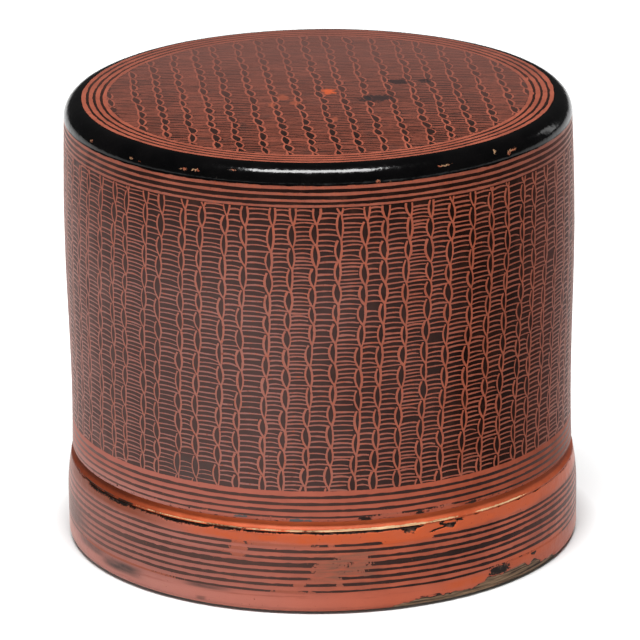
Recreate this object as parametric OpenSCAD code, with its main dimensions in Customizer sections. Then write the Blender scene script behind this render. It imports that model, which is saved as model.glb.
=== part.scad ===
// Round lacquer betel box: a deep lid slides down over a straight body and rests on the ledge
// of the body's foot band. Two trays stack inside the body, on a hoop glued to its wall.
// Every wall is wound from split bamboo, closed by a disc, edged by hoops and coated with lacquer.
// All pieces are turned about +Z; the origin is the centre of the foot, on the table.

/* [Lid] */
// Outside diameter of the lid at its belly
lid_d = 123.6; // [110:0.2:150]
// How far the lid's waist draws in from the belly, on the radius
lid_draw = 0.8; // [0.1:0.1:2]
// Height of the lid from its mouth to its flat top
lid_h = 87.3; // [76:0.1:110]
// Height of the waist above the mouth
waist_up = 12; // [4:1:20]
// Height of the belly above the mouth
belly_up = 56; // [44:1:64]
// Radius of the rounded shoulder between wall and top
shoulder_r = 4.4; // [2.5:0.1:6]
// Rounding of the lid's lower outside edge
mouth_round = 0.6; // [0.2:0.1:0.6]
// Thickness of the lid's wound wall at its waist
lid_wall_t = 2.4; // [1.6:0.1:3.5]
// Thickness of the disc that closes the lid
lid_panel_t = 3; // [2:0.1:4]
// Height of the hoop that edges the lid's mouth
mouth_hoop_h = 4; // [2:0.5:8]

/* [Lacquer] */
// Thickness of the engraved coat outside the lid and the foot band
coat_t = 0.8; // [0.6:0.1:1.2]
// Thickness of the plain coats inside the lid and on the body
lining_t = 0.6; // [0.4:0.1:1]
// Thickness of the coats on the trays
tray_coat_t = 0.5; // [0.3:0.1:0.8]

/* [Foot band] */
// How far the foot band stands out past the lid's belly, on the radius
band_proud = 0.6; // [0:0.1:3]
// Height of the band's upper edge above the table
band_h = 20.4; // [16:0.2:28]
// How far the band's upper edge leans in, on the radius
band_lean = 0.9; // [0.3:0.1:1.6]
// Height at which the band starts to lean in
band_straight_h = 11; // [6:0.5:14]
// Gap between the band's lower edge and the table
band_lift = 0.5; // [0.2:0.1:1.2]
// Rounding of the band hoop's lower outside edge, under its coat
band_round = 0.5; // [0.2:0.1:2]
// Rise of the lid's seat above the band's upper edge
seat_rise = 2.4; // [1:0.1:4]
// Height of the upright bare edge of the ledge, below its sloping face
ledge_edge_h = 0.4; // [0.2:0.1:0.8]
// How far the ledge's sloping face runs in, on the radius
ledge_slope = 1.6; // [0.4:0.1:2.2]

/* [Body] */
// Height of the ring that the box stands on
foot_h = 2.2; // [1.5:0.1:4]
// Width of the floor's bearing on the foot ring, on the radius
floor_bearing = 3.1; // [1.5:0.1:6]
// Thickness of the body's floor disc
floor_t = 3; // [2:0.1:5]
// Thickness of the body's wound wall
body_wall_t = 2.4; // [1.6:0.1:3.5]
// Height of the body's rim strip
rim_h = 2; // [1:0.1:4]
// Gap between the lid's lining and the body's coat, on the radius
lid_fit = 0.5; // [0.3:0.05:1]

/* [Trays] */
// Gap between the trays and the body's lining, on the radius
tray_fit = 0.5; // [0.3:0.05:1]
// Gap round the upper tray's locating step, on the radius
step_fit = 0.4; // [0.3:0.05:0.8]
// Depth of the upper tray's locating step
step_h = 1.5; // [1:0.1:3]
// Thickness of the trays' wound walls
tray_wall_t = 1.8; // [1.2:0.1:2.5]
// Thickness of the trays' floor discs
tray_floor_t = 2; // [1.5:0.1:3]
// Height of the trays' rim hoops
tray_rim_h = 2; // [1:0.1:3]
// Height of the lower tray
lower_tray_h = 30; // [20:0.5:36]
// Height of the upper tray above its seat
upper_tray_h = 29; // [20:0.5:36]
// How far the upper tray's rim stands above the body's rim
grip_h = 1.5; // [0.5:0.1:4]
// Free height above the upper tray, under the lid
headroom = 5.1; // [4.5:0.1:8]
// Width of the hoop that carries the trays, on the radius
tray_ledge_w = 3.6; // [2.5:0.1:6]
// Height of the hoop that carries the trays
tray_ledge_h = 3; // [2:0.1:5]

/* [Hidden] */
$fn = 120;

// Segments along a long gentle curve, and round a corner
curve_steps = 14;
arc_steps = 8;

// Share of a coat's thickness that a rounded edge may take
most_round = 0.75;

// Heights of the closed box
seat_z = band_h + seat_rise;
top_z = seat_z + lid_h;
shoulder_z = top_z - shoulder_r;
core_top_z = top_z - coat_t;
panel_z = core_top_z - lid_panel_t;
ceiling_z = panel_z - lining_t;
tray_top_z = ceiling_z - headroom;
upper_seat_z = tray_top_z - upper_tray_h;
lower_seat_z = upper_seat_z - lower_tray_h;
rim_top_z = tray_top_z - grip_h;
rim_z = rim_top_z - rim_h;
floor_top_z = foot_h + floor_t;

// Radii, from the lid's belly inwards
belly_r = lid_d / 2;
waist_r = belly_r - lid_draw;
lid_core_ir = waist_r - coat_t - lid_wall_t;
lid_ir = lid_core_ir - lining_t;
body_or = lid_ir - lid_fit;
body_core_or = body_or - lining_t;
body_core_ir = body_core_or - body_wall_t;
body_ir = body_core_ir - lining_t;
tray_or = body_ir - tray_fit;
tray_core_or = tray_or - tray_coat_t;
tray_core_ir = tray_core_or - tray_wall_t;
tray_ir = tray_core_ir - tray_coat_t;
foot_ir = body_core_ir - floor_bearing;

// Radii of the foot band
band_r = belly_r + band_proud;
band_edge_r = band_r - band_lean;

// The lid's side swells and draws in as one cosine wave from waist to belly
function lid_side_r(z) =
    waist_r + lid_draw * (1 - cos(180 * (z - seat_z - waist_up) / (belly_up - waist_up))) / 2;

// Points up the lid's side, at a depth below its surface
function lid_side(z0, z1, depth) =
    [for (i = [0:curve_steps]) let (z = z0 + (z1 - z0) * i / curve_steps) [lid_side_r(z) - depth, z]];

// Points on an arc about a centre
function arc(x, z, r, a0, a1) =
    [for (i = [0:arc_steps]) let (a = a0 + (a1 - a0) * i / arc_steps) [x + r * cos(a), z + r * sin(a)]];

// The same points from last to first
function backwards(points) = [for (i = [len(points) - 1:-1:0]) points[i]];

// The wound wall of the lid stands on the hoop that edges the mouth
lid_wall_z = seat_z + mouth_hoop_h;

// Points up the outside of hoop and wall in turn, where the lid's coat lies on them
function lid_core_side() =
    concat(lid_side(seat_z, lid_wall_z, coat_t), lid_side(lid_wall_z, shoulder_z, coat_t));

// The shoulder is a quarter round, at a depth below its surface
shoulder_x = lid_side_r(shoulder_z) - shoulder_r;
function shoulder(a0, a1, depth) = arc(shoulder_x, shoulder_z, shoulder_r - depth, a0, a1);

// The shoulder hoop meets the disc that it holds on the rounding, or on the flat beside it
meets_flat = shoulder_x > lid_core_ir;
meeting_angle = meets_flat ? 90 : acos((lid_core_ir - shoulder_x) / (shoulder_r - coat_t));
meeting_corner = [[lid_core_ir, core_top_z]];

// Points over the rounding of hoop and disc in turn, where the shoulder's coat lies on them
function core_shoulder() =
    concat(shoulder(0, meeting_angle, coat_t), meets_flat ? [] : shoulder(meeting_angle, 90, coat_t));

// The band rises from its rounded lower edge, runs straight and then leans in on a wide arc
lean_h = band_h - band_straight_h;
lean_r = (lean_h * lean_h + band_lean * band_lean) / (2 * band_lean);
lean_angle = asin(lean_h / lean_r);
band_corner_r = band_round + coat_t;
band_corner_x = band_r - band_corner_r;
band_corner_z = band_lift + band_corner_r;
function band_side(depth) = concat(
    arc(band_corner_x, band_corner_z, band_corner_r - depth, -90, 0),
    [for (i = [0:arc_steps]) let (a = lean_angle * i / arc_steps)
        [band_r - lean_r + lean_r * cos(a) - depth, band_straight_h + lean_r * sin(a)]]
);

// A piece turned about the axis from its half outline
module turned(outline) {
    rotate_extrude()
        polygon(outline);
}

// A straight ring between two radii and two heights
module ring(r0, r1, z0, z1) {
    turned([[r0, z0], [r1, z0], [r1, z1], [r0, z1]]);
}

// A flat disc between two heights
module disc(r, z0, z1) {
    turned([[0, z0], [r, z0], [r, z1], [0, z1]]);
}

// A coat of one thickness on a floor and up the wall round it
module cup(r, t, floor_z, edge_z) {
    turned([
        [0, floor_z], [r, floor_z], [r, edge_z],
        [r - t, edge_z], [r - t, floor_z + t], [0, floor_z + t]
    ]);
}

// Ring under the wall that the box stands on
module foot_ring() {
    color("dimgray")
        ring(foot_ir, body_core_or, 0, foot_h);
}

// Coiled disc that closes the body's lower end
module body_floor() {
    color("tan")
        disc(body_core_ir, foot_h, floor_top_z);
}

// Black coat under the floor, inside the foot ring
module underside_coat() {
    color("black")
        disc(foot_ir, foot_h - lining_t, foot_h);
}

// Straight wall wound from split bamboo
module body_wall() {
    color("tan")
        ring(body_core_ir, body_core_or, foot_h, rim_z);
}

// Strip that edges the body's mouth, over wall, coat and lining
module body_rim() {
    color("orangered")
        ring(body_ir, body_or, rim_z, rim_top_z);
}

// Plain red coat on the body's wall, above the lid's seat
module body_coat() {
    color("orangered")
        ring(body_core_or, body_or, seat_z, rim_z);
}

// Plain red coat inside the body
module body_lining() {
    color("orangered")
        cup(body_core_ir, lining_t, floor_top_z, rim_z);
}

// Thick hoop round the body's lower end
module band_hoop() {
    color("tan")
        turned(concat(
            [[body_core_or, band_lift], [band_corner_x, band_lift]],
            band_side(coat_t),
            [[body_core_or, band_h]]
        ));
}

// Lined coat on the band, turned under its lower edge
module band_coat() {
    color("chocolate")
        turned(concat(band_side(0), backwards(band_side(coat_t))));
}

// Bamboo hoop that carries the lid: an upright bare edge, a sloping face and a flat seat
module ledge_hoop() {
    color("orangered")
        turned([
            [body_core_or, band_h], [band_edge_r, band_h], [band_edge_r, band_h + ledge_edge_h],
            [band_edge_r - ledge_slope, seat_z], [body_core_or, seat_z]
        ]);
}

// Hoop glued inside the body to carry the trays
module tray_ledge() {
    color("orangered")
        ring(body_ir - tray_ledge_w, body_ir, lower_seat_z - tray_ledge_h, lower_seat_z);
}

// The trays' like pieces, for a tray that stands on seat and reaches up to its brim
module tray_wall(seat, brim) {
    color("tan")
        ring(tray_core_ir, tray_core_or, seat, brim - tray_rim_h);
}

module tray_rim(brim) {
    color("orangered")
        ring(tray_ir, tray_or, brim - tray_rim_h, brim);
}

module tray_coat(seat, brim) {
    color("orangered")
        ring(tray_core_or, tray_or, seat, brim - tray_rim_h);
}

module tray_lining(seat, brim) {
    color("orangered")
        cup(tray_core_ir, tray_coat_t, seat + tray_floor_t, brim - tray_rim_h);
}

// Lower tray, which stands on the hoop inside the body
module lower_tray_floor() {
    color("tan")
        disc(tray_core_ir, lower_seat_z, lower_seat_z + tray_floor_t);
}

module lower_tray_wall() {
    tray_wall(lower_seat_z, upper_seat_z);
}

module lower_tray_rim() {
    tray_rim(upper_seat_z);
}

module lower_tray_coat() {
    tray_coat(lower_seat_z, upper_seat_z);
}

module lower_tray_lining() {
    tray_lining(lower_seat_z, upper_seat_z);
}

// Upper tray, which stands on the lower tray's rim; its floor has a step that drops inside that rim
module upper_tray_floor() {
    step_r = tray_ir - step_fit;
    color("tan")
        turned([
            [0, upper_seat_z - step_h], [step_r, upper_seat_z - step_h], [step_r, upper_seat_z],
            [tray_core_ir, upper_seat_z], [tray_core_ir, upper_seat_z + tray_floor_t],
            [0, upper_seat_z + tray_floor_t]
        ]);
}

module upper_tray_wall() {
    tray_wall(upper_seat_z, tray_top_z);
}

module upper_tray_rim() {
    tray_rim(tray_top_z);
}

module upper_tray_coat() {
    tray_coat(upper_seat_z, tray_top_z);
}

module upper_tray_lining() {
    tray_lining(upper_seat_z, tray_top_z);
}

// Lid wall wound from split bamboo, thinnest at the waist
module lid_wall() {
    color("tan")
        turned(concat(
            [[lid_core_ir, lid_wall_z]],
            lid_side(lid_wall_z, shoulder_z, coat_t),
            [[lid_core_ir, shoulder_z]]
        ));
}

// Bamboo hoop that edges the lid's mouth
module lid_mouth_hoop() {
    color("burlywood")
        turned(concat(
            [[lid_core_ir, seat_z]],
            lid_side(seat_z, lid_wall_z, coat_t),
            [[lid_core_ir, lid_wall_z]]
        ));
}

// Hoop that rounds the shoulder and holds the disc
module lid_shoulder_hoop() {
    color("burlywood")
        turned(concat(
            [[lid_core_ir, shoulder_z]],
            shoulder(0, meeting_angle, coat_t),
            meets_flat ? meeting_corner : []
        ));
}

// Coiled disc that closes the top, let into the shoulder hoop
module lid_top_panel() {
    color("tan")
        turned(concat(
            [[0, panel_z], [lid_core_ir, panel_z]],
            meets_flat ? meeting_corner : shoulder(meeting_angle, 90, coat_t),
            [[0, core_top_z]]
        ));
}

// Engraved coat on the lid's wall, rounded at the mouth
module lid_wall_coat() {
    round_r = min(mouth_round, most_round * coat_t);
    low_z = seat_z + round_r;
    color("sienna")
        turned(concat(
            arc(lid_side_r(low_z) - round_r, low_z, round_r, -90, 0),
            lid_side(low_z, shoulder_z, 0),
            backwards(lid_core_side())
        ));
}

// Plain black coat over the shoulder
module lid_shoulder_coat() {
    color("black")
        turned(concat(shoulder(0, 90, 0), backwards(core_shoulder())));
}

// Engraved coat on the lid's top
module lid_top_coat() {
    color("sienna")
        disc(shoulder_x, core_top_z, top_z);
}

// Plain red coat inside the lid
module lid_lining() {
    color("orangered")
        turned([
            [lid_ir, seat_z], [lid_core_ir, seat_z], [lid_core_ir, panel_z],
            [0, panel_z], [0, ceiling_z], [lid_ir, ceiling_z]
        ]);
}

foot_ring();
body_floor();
underside_coat();
body_wall();
body_rim();
body_coat();
body_lining();
band_hoop();
band_coat();
ledge_hoop();
tray_ledge();
lower_tray_floor();
lower_tray_wall();
lower_tray_rim();
lower_tray_coat();
lower_tray_lining();
upper_tray_floor();
upper_tray_wall();
upper_tray_rim();
upper_tray_coat();
upper_tray_lining();
lid_wall();
lid_mouth_hoop();
lid_shoulder_hoop();
lid_top_panel();
lid_wall_coat();
lid_shoulder_coat();
lid_top_coat();
lid_lining();
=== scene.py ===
import math

import bpy
import numpy as np
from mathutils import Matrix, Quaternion, Vector


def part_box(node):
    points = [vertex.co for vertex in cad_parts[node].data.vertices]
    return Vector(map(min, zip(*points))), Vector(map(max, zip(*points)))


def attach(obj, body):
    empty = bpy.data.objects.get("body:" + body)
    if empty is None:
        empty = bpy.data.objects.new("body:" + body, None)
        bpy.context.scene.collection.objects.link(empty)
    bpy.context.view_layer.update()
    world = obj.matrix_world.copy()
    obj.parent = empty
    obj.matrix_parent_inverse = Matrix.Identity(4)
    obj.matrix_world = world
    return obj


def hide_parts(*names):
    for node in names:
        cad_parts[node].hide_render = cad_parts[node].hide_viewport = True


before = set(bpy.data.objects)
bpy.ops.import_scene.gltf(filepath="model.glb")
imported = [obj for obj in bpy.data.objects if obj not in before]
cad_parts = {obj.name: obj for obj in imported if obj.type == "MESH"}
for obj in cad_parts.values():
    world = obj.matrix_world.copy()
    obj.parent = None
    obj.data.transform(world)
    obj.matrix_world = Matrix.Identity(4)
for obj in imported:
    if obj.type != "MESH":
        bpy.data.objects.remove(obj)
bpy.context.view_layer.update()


# Cores: walls, discs and hoops of split bamboo, wound or coiled and glued with sap and ash.
# Coats cover these five on every side, so they stay the frame's own solids in a bamboo finish.
mm = 0.001


def shade(tree, kind, *values, out=0, **settings):
    """Adds a shader node and gives back one output. Values fill its inputs in turn; a setting goes to the
    input or the property of that name. An output is linked in, anything else is written on the socket."""
    made = tree.nodes.new("ShaderNode" + kind)
    for name, value in [*enumerate(values), *settings.items()]:
        if isinstance(name, str) and name not in made.inputs:
            setattr(made, name, value)
        elif isinstance(value, bpy.types.NodeSocket):
            tree.links.new(value, made.inputs[name])
        else:
            made.inputs[name].default_value = value
    return made.outputs[out]


def between(tree, share, first, second):
    """Colour that goes in a straight line from the first to the second as share goes from 0 to 1. On a colour
    mix, the share is input 0, the colours are inputs 6 and 7, and the result is output 2."""
    made = tree.nodes.new("ShaderNodeMix")
    made.data_type = "RGBA"
    for place, value in ((0, share), (6, first), (7, second)):
        if isinstance(value, bpy.types.NodeSocket):
            tree.links.new(value, made.inputs[place])
        else:
            made.inputs[place].default_value = value if place == 0 else (*value, 1.0)
    return made.outputs[2]


def own(tree):
    """The piece's own coordinates."""
    return tree.nodes["Texture Coordinate"].outputs["Object"]


def stretched(tree, *scale):
    """The piece's own coordinates, each times its scale."""
    return shade(tree, "Mapping", Vector=own(tree), Scale=scale)


def grain(tree, size, low=0.0, high=1.0, to_low=0.0, to_high=1.0, detail=4.0, at=None):
    """Noise of this grain size in metres, at the piece's own coordinates or at others. What lies from low to
    high is stretched to run from to_low to to_high."""
    at = own(tree) if at is None else at
    noise = shade(tree, "TexNoise", Vector=at, Scale=1 / size, Detail=detail, Roughness=0.6)
    return shade(tree, "MapRange", noise, low, high, to_low, to_high)


def new_finish(name, specular=0.5, bloom=0.0):
    """Starts a finish and gives back its material and its node tree. The bloom is the fine haze that old
    lacquer shows where it is seen at a low angle."""
    material = bpy.data.materials.new(name)
    material.use_nodes = True
    shader = material.node_tree.nodes["Principled BSDF"]
    shader.inputs["Specular IOR Level"].default_value = specular
    shader.inputs["Sheen Weight"].default_value = bloom
    shader.inputs["Sheen Roughness"].default_value = 0.28
    shader.inputs["Sheen Tint"].default_value = (1.0, 0.81, 0.75, 1.0)
    shade(material.node_tree, "TexCoord")
    return material, material.node_tree


def first_layer(tree, colour, rough, height, depth, strength=1.0):
    """Links a finish's first layer: its colour, its roughness, and the height that its bump follows."""
    bump = shade(tree, "Bump", Height=height, Distance=depth, Strength=strength)
    for value, socket in ((colour, "Base Color"), (rough, "Roughness"), (bump, "Normal")):
        tree.links.new(value, tree.nodes["Principled BSDF"].inputs[socket])


# The fibres run round the axis, so their grain is fine across radius and height and long the other way.
split_bamboo, tree = new_finish("split_bamboo", specular=0.3)
outwards = shade(tree, "VectorMath", stretched(tree, 1500.0, 1500.0, 0.0), operation="LENGTH", out="Value")
lengthwise = stretched(tree, 60.0, 60.0, 1700.0)
strips = shade(
    tree, "CombineXYZ", outwards, shade(tree, "SeparateXYZ", lengthwise, out="Z"),
    shade(tree, "SeparateXYZ", lengthwise, out="X"),
)
fibres = grain(tree, 1.0, 0.3, 0.7, detail=5.0, at=strips)
fresh_bamboo = between(tree, fibres, (0.20, 0.11, 0.045), (0.52, 0.35, 0.17))
aged_bamboo = between(tree, grain(tree, 12 * mm, 0.4, 0.7, 0.0, 0.6), fresh_bamboo, (0.10, 0.055, 0.028))
first_layer(tree, aged_bamboo, grain(tree, 0.6, 0.3, 0.7, 0.5, 0.75, at=strips), fibres, 0.12 * mm, 0.7)

for core in ("body_floor", "body_wall", "lid_wall", "lid_shoulder_hoop", "lid_top_panel"):
    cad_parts[core].data.materials.clear()
    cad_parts[core].data.materials.append(split_bamboo)


# Foot ring and band hoop: two bamboo hoops round the lower end of the wound wall. The box stands on the
# ring, and the thick hoop outside it carries the lined coat; both are bare underneath.
crease = math.radians(40)


def reach(node):
    """Outside radius of a CAD node."""
    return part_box(node)[1].x


def foot(node):
    """Lowest height of a CAD node."""
    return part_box(node)[0].z


def brim(node):
    """Highest height of a CAD node."""
    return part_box(node)[1].z


def half_outline(*corners, step=1.2 * mm, arc_points=7):
    """Closed half outline through corners (radius, height, rounding). A rounded corner is an arc that touches
    both runs: its centre lies on their bisector, rounding / sin(half the angle) away. Angles are kept just
    off 0 and 180 degrees, and runs are cut into even steps."""
    corner = np.array([c[:2] for c in corners], float)
    rounding = np.array([c[2] if len(c) > 2 else 0.0 for c in corners])
    back = np.roll(corner, 1, 0) - corner
    ahead = np.roll(corner, -1, 0) - corner
    back /= np.linalg.norm(back, axis=1, keepdims=True)
    ahead /= np.linalg.norm(ahead, axis=1, keepdims=True)
    half = np.arccos(np.clip((back * ahead).sum(1), -0.999999, 0.999999)) / 2
    bisector = (back + ahead) / np.linalg.norm(back + ahead, axis=1, keepdims=True)
    centre = corner + bisector * (rounding / np.sin(half))[:, None]
    touch = (rounding / np.tan(half))[:, None]
    sweep = (np.pi - 2 * half)[:, None, None]
    share = np.linspace(0, 1, arc_points)[None, :, None]
    arcs = np.sin((1 - share) * sweep) * (corner + back * touch - centre)[:, None]
    arcs = (arcs + np.sin(share * sweep) * (corner + ahead * touch - centre)[:, None]) / np.sin(sweep)
    points = (centre[:, None] + arcs).reshape(-1, 2)
    points = points[np.linalg.norm(points - np.roll(points, 1, 0), axis=1) > 1e-7]
    run = np.roll(points, -1, 0) - points
    cuts = np.maximum(1, np.ceil(np.linalg.norm(run, axis=1) / step)).astype(int)
    place = (np.arange(cuts.sum()) - np.repeat(np.cumsum(cuts) - cuts, cuts)) / np.repeat(cuts, cuts)
    return np.repeat(points, cuts, 0) + place[:, None] * np.repeat(run, cuts, 0)


def about_axis(a, r, z):
    """Points at angle a about the axis, at radius r and height z."""
    return np.stack([r * np.cos(a), r * np.sin(a), z], -1)


def put_mesh(name, points, faces, flat, smooth, marks):
    """Makes an object from points, groups of faces and, for the bake, a place on a flat sheet for each corner
    of a face. Marks are kept as point attributes."""
    mesh = bpy.data.meshes.new(name)
    mesh.from_pydata(points.tolist(), [], [f for group in faces for f in group.tolist()])
    sheet = mesh.uv_layers.new(name="OFBake")
    sheet.data.foreach_set("uv", np.concatenate([f.reshape(-1, 2) for f in flat]).astype(np.float32).ravel())
    mesh.polygons.foreach_set("use_smooth", np.full(len(mesh.polygons), smooth))
    if smooth:
        mesh.set_sharp_from_angle(angle=crease)
    for label, values in marks.items():
        attribute = mesh.attributes.new(label, "FLOAT", "POINT")
        attribute.data.foreach_set("value", values.astype(np.float32).ravel())
    made = bpy.data.objects.new(name, mesh)
    bpy.context.scene.collection.objects.link(made)
    return made


def turned(name, outline, around=360, worn=None, **marks):
    """A piece turned about the axis: at angle a, each outline point (r, z) is moved in along the outline's
    normal by worn(a, r, z). An outline that starts on the axis is closed there by a fan at each end. Marks
    are functions of (a, r, z)."""
    tip = outline[:, 0] < 1e-9
    solid = tip.any()
    if solid:
        outline = np.roll(outline, -np.flatnonzero(tip & ~np.roll(tip, -1))[0], 0)
    on_skin = outline[:, 0] > 1e-9
    skin = outline[on_skin]
    rows = len(skin)
    slope = (np.roll(outline, -1, 0) - np.roll(outline, 1, 0))[on_skin]
    slope /= np.linalg.norm(slope, axis=1, keepdims=True)
    # On the flat sheet, u runs once round the axis and v along the outline.
    run = np.linalg.norm(np.diff(skin, axis=0, append=skin[:1]), axis=1)
    v = np.append(0.01 + 0.98 * (np.cumsum(run) - run) / run.sum(), 1.0)

    a = np.arange(around)[:, None] * 2 * np.pi / around + np.zeros(rows)
    r, z = skin[:, 0] + 0 * a, skin[:, 1] + 0 * a
    depth = worn(a, r, z) if worn else 0 * r
    points = about_axis(a, r - depth * slope[:, 1], z + depth * slope[:, 0]).reshape(-1, 3)
    i, j = np.indices((around, rows - 1 if solid else rows))
    corners = ((i, j), (i + 1, j), (i + 1, j + 1), (i, j + 1))
    faces = [np.stack([i % around * rows + j % rows for i, j in corners], -1).reshape(-1, 4)]
    flat = [np.stack([np.stack([i / around, v[j]], -1) for i, j in corners], -2)]
    if solid:
        points = np.concatenate([points, [[0, 0, outline[0, 1]], [0, 0, outline[rows + 1, 1]]]])
        i = np.arange(around)
        on = (i + 1) % around
        faces.append(np.stack([around * rows + 0 * i, on * rows, i * rows], -1))
        faces.append(np.stack([(i + 1) * rows - 1, (on + 1) * rows - 1, around * rows + 1 + 0 * i], -1))
        u = np.stack([i, i + 0.5, i + 1], -1) / around
        flat.append(np.stack([u[:, [1, 2, 0]], 0 * u + [0, v[0], v[0]]], -1))
        flat.append(np.stack([u[:, [0, 2, 1]], 0 * u + [v[rows - 1], v[rows - 1], 1]], -1))
    spare = (0, len(points) - r.size)
    marks = {label: np.pad(field(a, r, z).ravel(), spare) for label, field in marks.items()}
    return put_mesh(name, points, faces, flat, True, marks)


def fit(piece, finish, body, slot, *nodes):
    """Gives a piece its finish and body, and hides the CAD nodes that it stands for. Its slot is not used."""
    piece.data.materials.append(finish)
    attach(piece, body)
    if nodes:
        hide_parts(*nodes)


foot_ir = reach("underside_coat")
foot_r = reach("foot_ring")
foot_round = 0.4 * mm
band_corner = 1.3 * mm
band_straight = 11 * mm
band_lean = 0.9 * mm
coat_t = 0.8 * mm
hoop_r = reach("band_coat") - coat_t
hoop_step_r = hoop_r - 0.5 * mm
hoop_z = foot("band_coat")
foot_top = brim("foot_ring")
foot_ring = turned("foot_ring_bare", half_outline(
    (foot_ir, 0, foot_round), (foot_r, 0, foot_round), (foot_r, foot_top), (foot_ir, foot_top),
))
fit(foot_ring, split_bamboo, "base", "bamboo", "foot_ring")
band_hoop = turned("band_hoop_bare", half_outline(
    (foot_r, hoop_z), (hoop_step_r, hoop_z), (hoop_step_r, hoop_z + coat_t), (hoop_r, hoop_z + band_corner),
    (hoop_r, band_straight), (hoop_r - band_lean, brim("band_hoop")), (foot_r, brim("band_hoop")),
))
fit(band_hoop, split_bamboo, "base", "bamboo", "band_hoop")


# Underside: plain black lacquer inside the foot ring. The coiled strip of the floor disc shows through it
# as low rings, and it is dull from standing on shelves.
def lacquer(name, deep, clear, cloud, gloss, rubbed, dent, specular=0.5, bloom=0.0):
    """Hand-rubbed lacquer: its colour drifts from deep to clear in clouds of this size, its roughness goes
    from gloss to rubbed in smaller ones, and shallow dents lie in the coat."""
    material, tree = new_finish(name, specular, bloom)
    colour = between(tree, grain(tree, cloud, 0.36, 0.64), deep, clear)
    dents = grain(tree, 2.2 * mm, 0.25, 0.75, detail=2.0)
    first_layer(tree, colour, grain(tree, cloud / 5, 0.35, 0.65, gloss, rubbed), dents, dent)
    return material, tree


def lay_over(tree, share, colour, rough):
    """Lays another colour and roughness over a finish as far as share says."""
    inputs = tree.nodes["Principled BSDF"].inputs
    under = [inputs[socket].links[0].from_socket for socket in ("Base Color", "Roughness")]
    tree.links.new(between(tree, share, under[0], colour), inputs["Base Color"])
    tree.links.new(shade(tree, "MapRange", share, 0.0, 1.0, under[1], rough), inputs["Roughness"])


black_underside, tree = lacquer(
    "black_underside", deep=(0.006, 0.005, 0.005), clear=(0.022, 0.016, 0.013), cloud=12 * mm, gloss=0.35,
    rubbed=0.6, dent=0.05 * mm,
)
lay_over(tree, grain(tree, 1.5 * mm, 0.62, 0.72), (0.16, 0.09, 0.045), 0.8)

coil_pitch = 2.4 * mm
coil_depth = 0.08 * mm
coil_step = 0.6 * mm
coil_around = 200


def coil(a, r, z):
    """Low ridges of a coiled strip: half a sine wave for each of its turns."""
    return coil_depth * (1 - np.abs(np.sin(np.pi * r / coil_pitch)))


under_z, under_top = foot("underside_coat"), brim("underside_coat")
underside = turned("underside_black", half_outline(
    (0, under_z), (foot_ir, under_z), (foot_ir, under_top), (0, under_top), step=coil_step,
), around=coil_around, worn=coil)
fit(underside, black_underside, "base", "black_lacquer", "underside_coat")


# Body: the straight inner tube that the lid slides over, in plain red lacquer inside and out, with a
# rim strip that closes the top of wall and coats. Sliding has rubbed the outside dull in upright streaks,
# and the rim's edges are worn through to brown.
def mark(tree, name):
    """A point attribute of the piece, as a share."""
    return shade(tree, "Attribute", attribute_name=name, out="Fac")


def over(tree, first, second, low, high):
    """Share that rises from 0 to 1 as the sum of two values goes from low to high."""
    return shade(tree, "MapRange", shade(tree, "Math", first, second, operation="ADD"), low, high, 0.0, 1.0)


def torn(tree, name, size, spread, low, high, at=None):
    """Share of a mark with torn edges: noise of this size and spread is added, then low to high is kept."""
    return over(tree, mark(tree, name), grain(tree, size, 0.3, 0.7, -spread, spread, at=at), low, high)


red_lacquer, tree = lacquer(
    "red_lacquer", deep=(0.31, 0.042, 0.014), clear=(0.42, 0.070, 0.023), cloud=16 * mm, gloss=0.26,
    rubbed=0.42, dent=0.05 * mm, specular=0.35,
)
lay_over(tree, grain(tree, 0.7 * mm, 0.66, 0.74), (0.10, 0.018, 0.010), 0.5)
upright = stretched(tree, 700.0, 700.0, 25.0)
lay_over(tree, grain(tree, 1.0, 0.54, 0.78, at=upright), (0.20, 0.034, 0.015), 0.55)
lay_over(tree, torn(tree, "rubbed", 0.7 * mm, 0.25, 0.46, 0.60), (0.11, 0.036, 0.017), 0.6)

cloud_r = 61 * mm
cloud_rows = 256
strip_pitch = 5 * mm
strip_depth = 0.03 * mm


def clouds(a, h, cell, seed):
    """Smooth random field from -1 to 1 on a turned surface: random values on a lattice of this cell round and
    up the surface, blended by smoothstep. The lattice closes round the axis."""
    around = max(3, round(2 * math.pi * cloud_r / cell))
    lattice = np.random.default_rng(seed).uniform(-1, 1, (around, cloud_rows))
    u, v = a / (2 * math.pi) * around, h / cell
    i, j = np.floor(u).astype(int), np.floor(v).astype(int)
    f, g = u - i, v - j
    f, g = f * f * (3 - 2 * f), g * g * (3 - 2 * g)
    i, on = i % around, (i + 1) % around
    j, up = j % cloud_rows, (j + 1) % cloud_rows
    low = lattice[i, j] * (1 - f) + lattice[on, j] * f
    high = lattice[i, up] * (1 - f) + lattice[on, up] * f
    return low * (1 - g) + high * g


def wound(a, r, z):
    """The wound strips under a coat show as faint level ridges, drifting round the wall."""
    return strip_depth * (1 + np.sin(2 * np.pi * z / strip_pitch + a + 2 * clouds(a, z, 20 * mm, 3)))


def rim_rubbed(a, r, z):
    """Wear on the rounded top of a rim: strongest on its highest 0.5 mm, in stretches of about 9 mm."""
    top = np.exp(-(((z.max() - z) / (0.5 * mm)) ** 2))
    return np.clip(top * (0.42 + 0.5 * clouds(a, r, 9 * mm, 7)), 0, 1)


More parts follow.
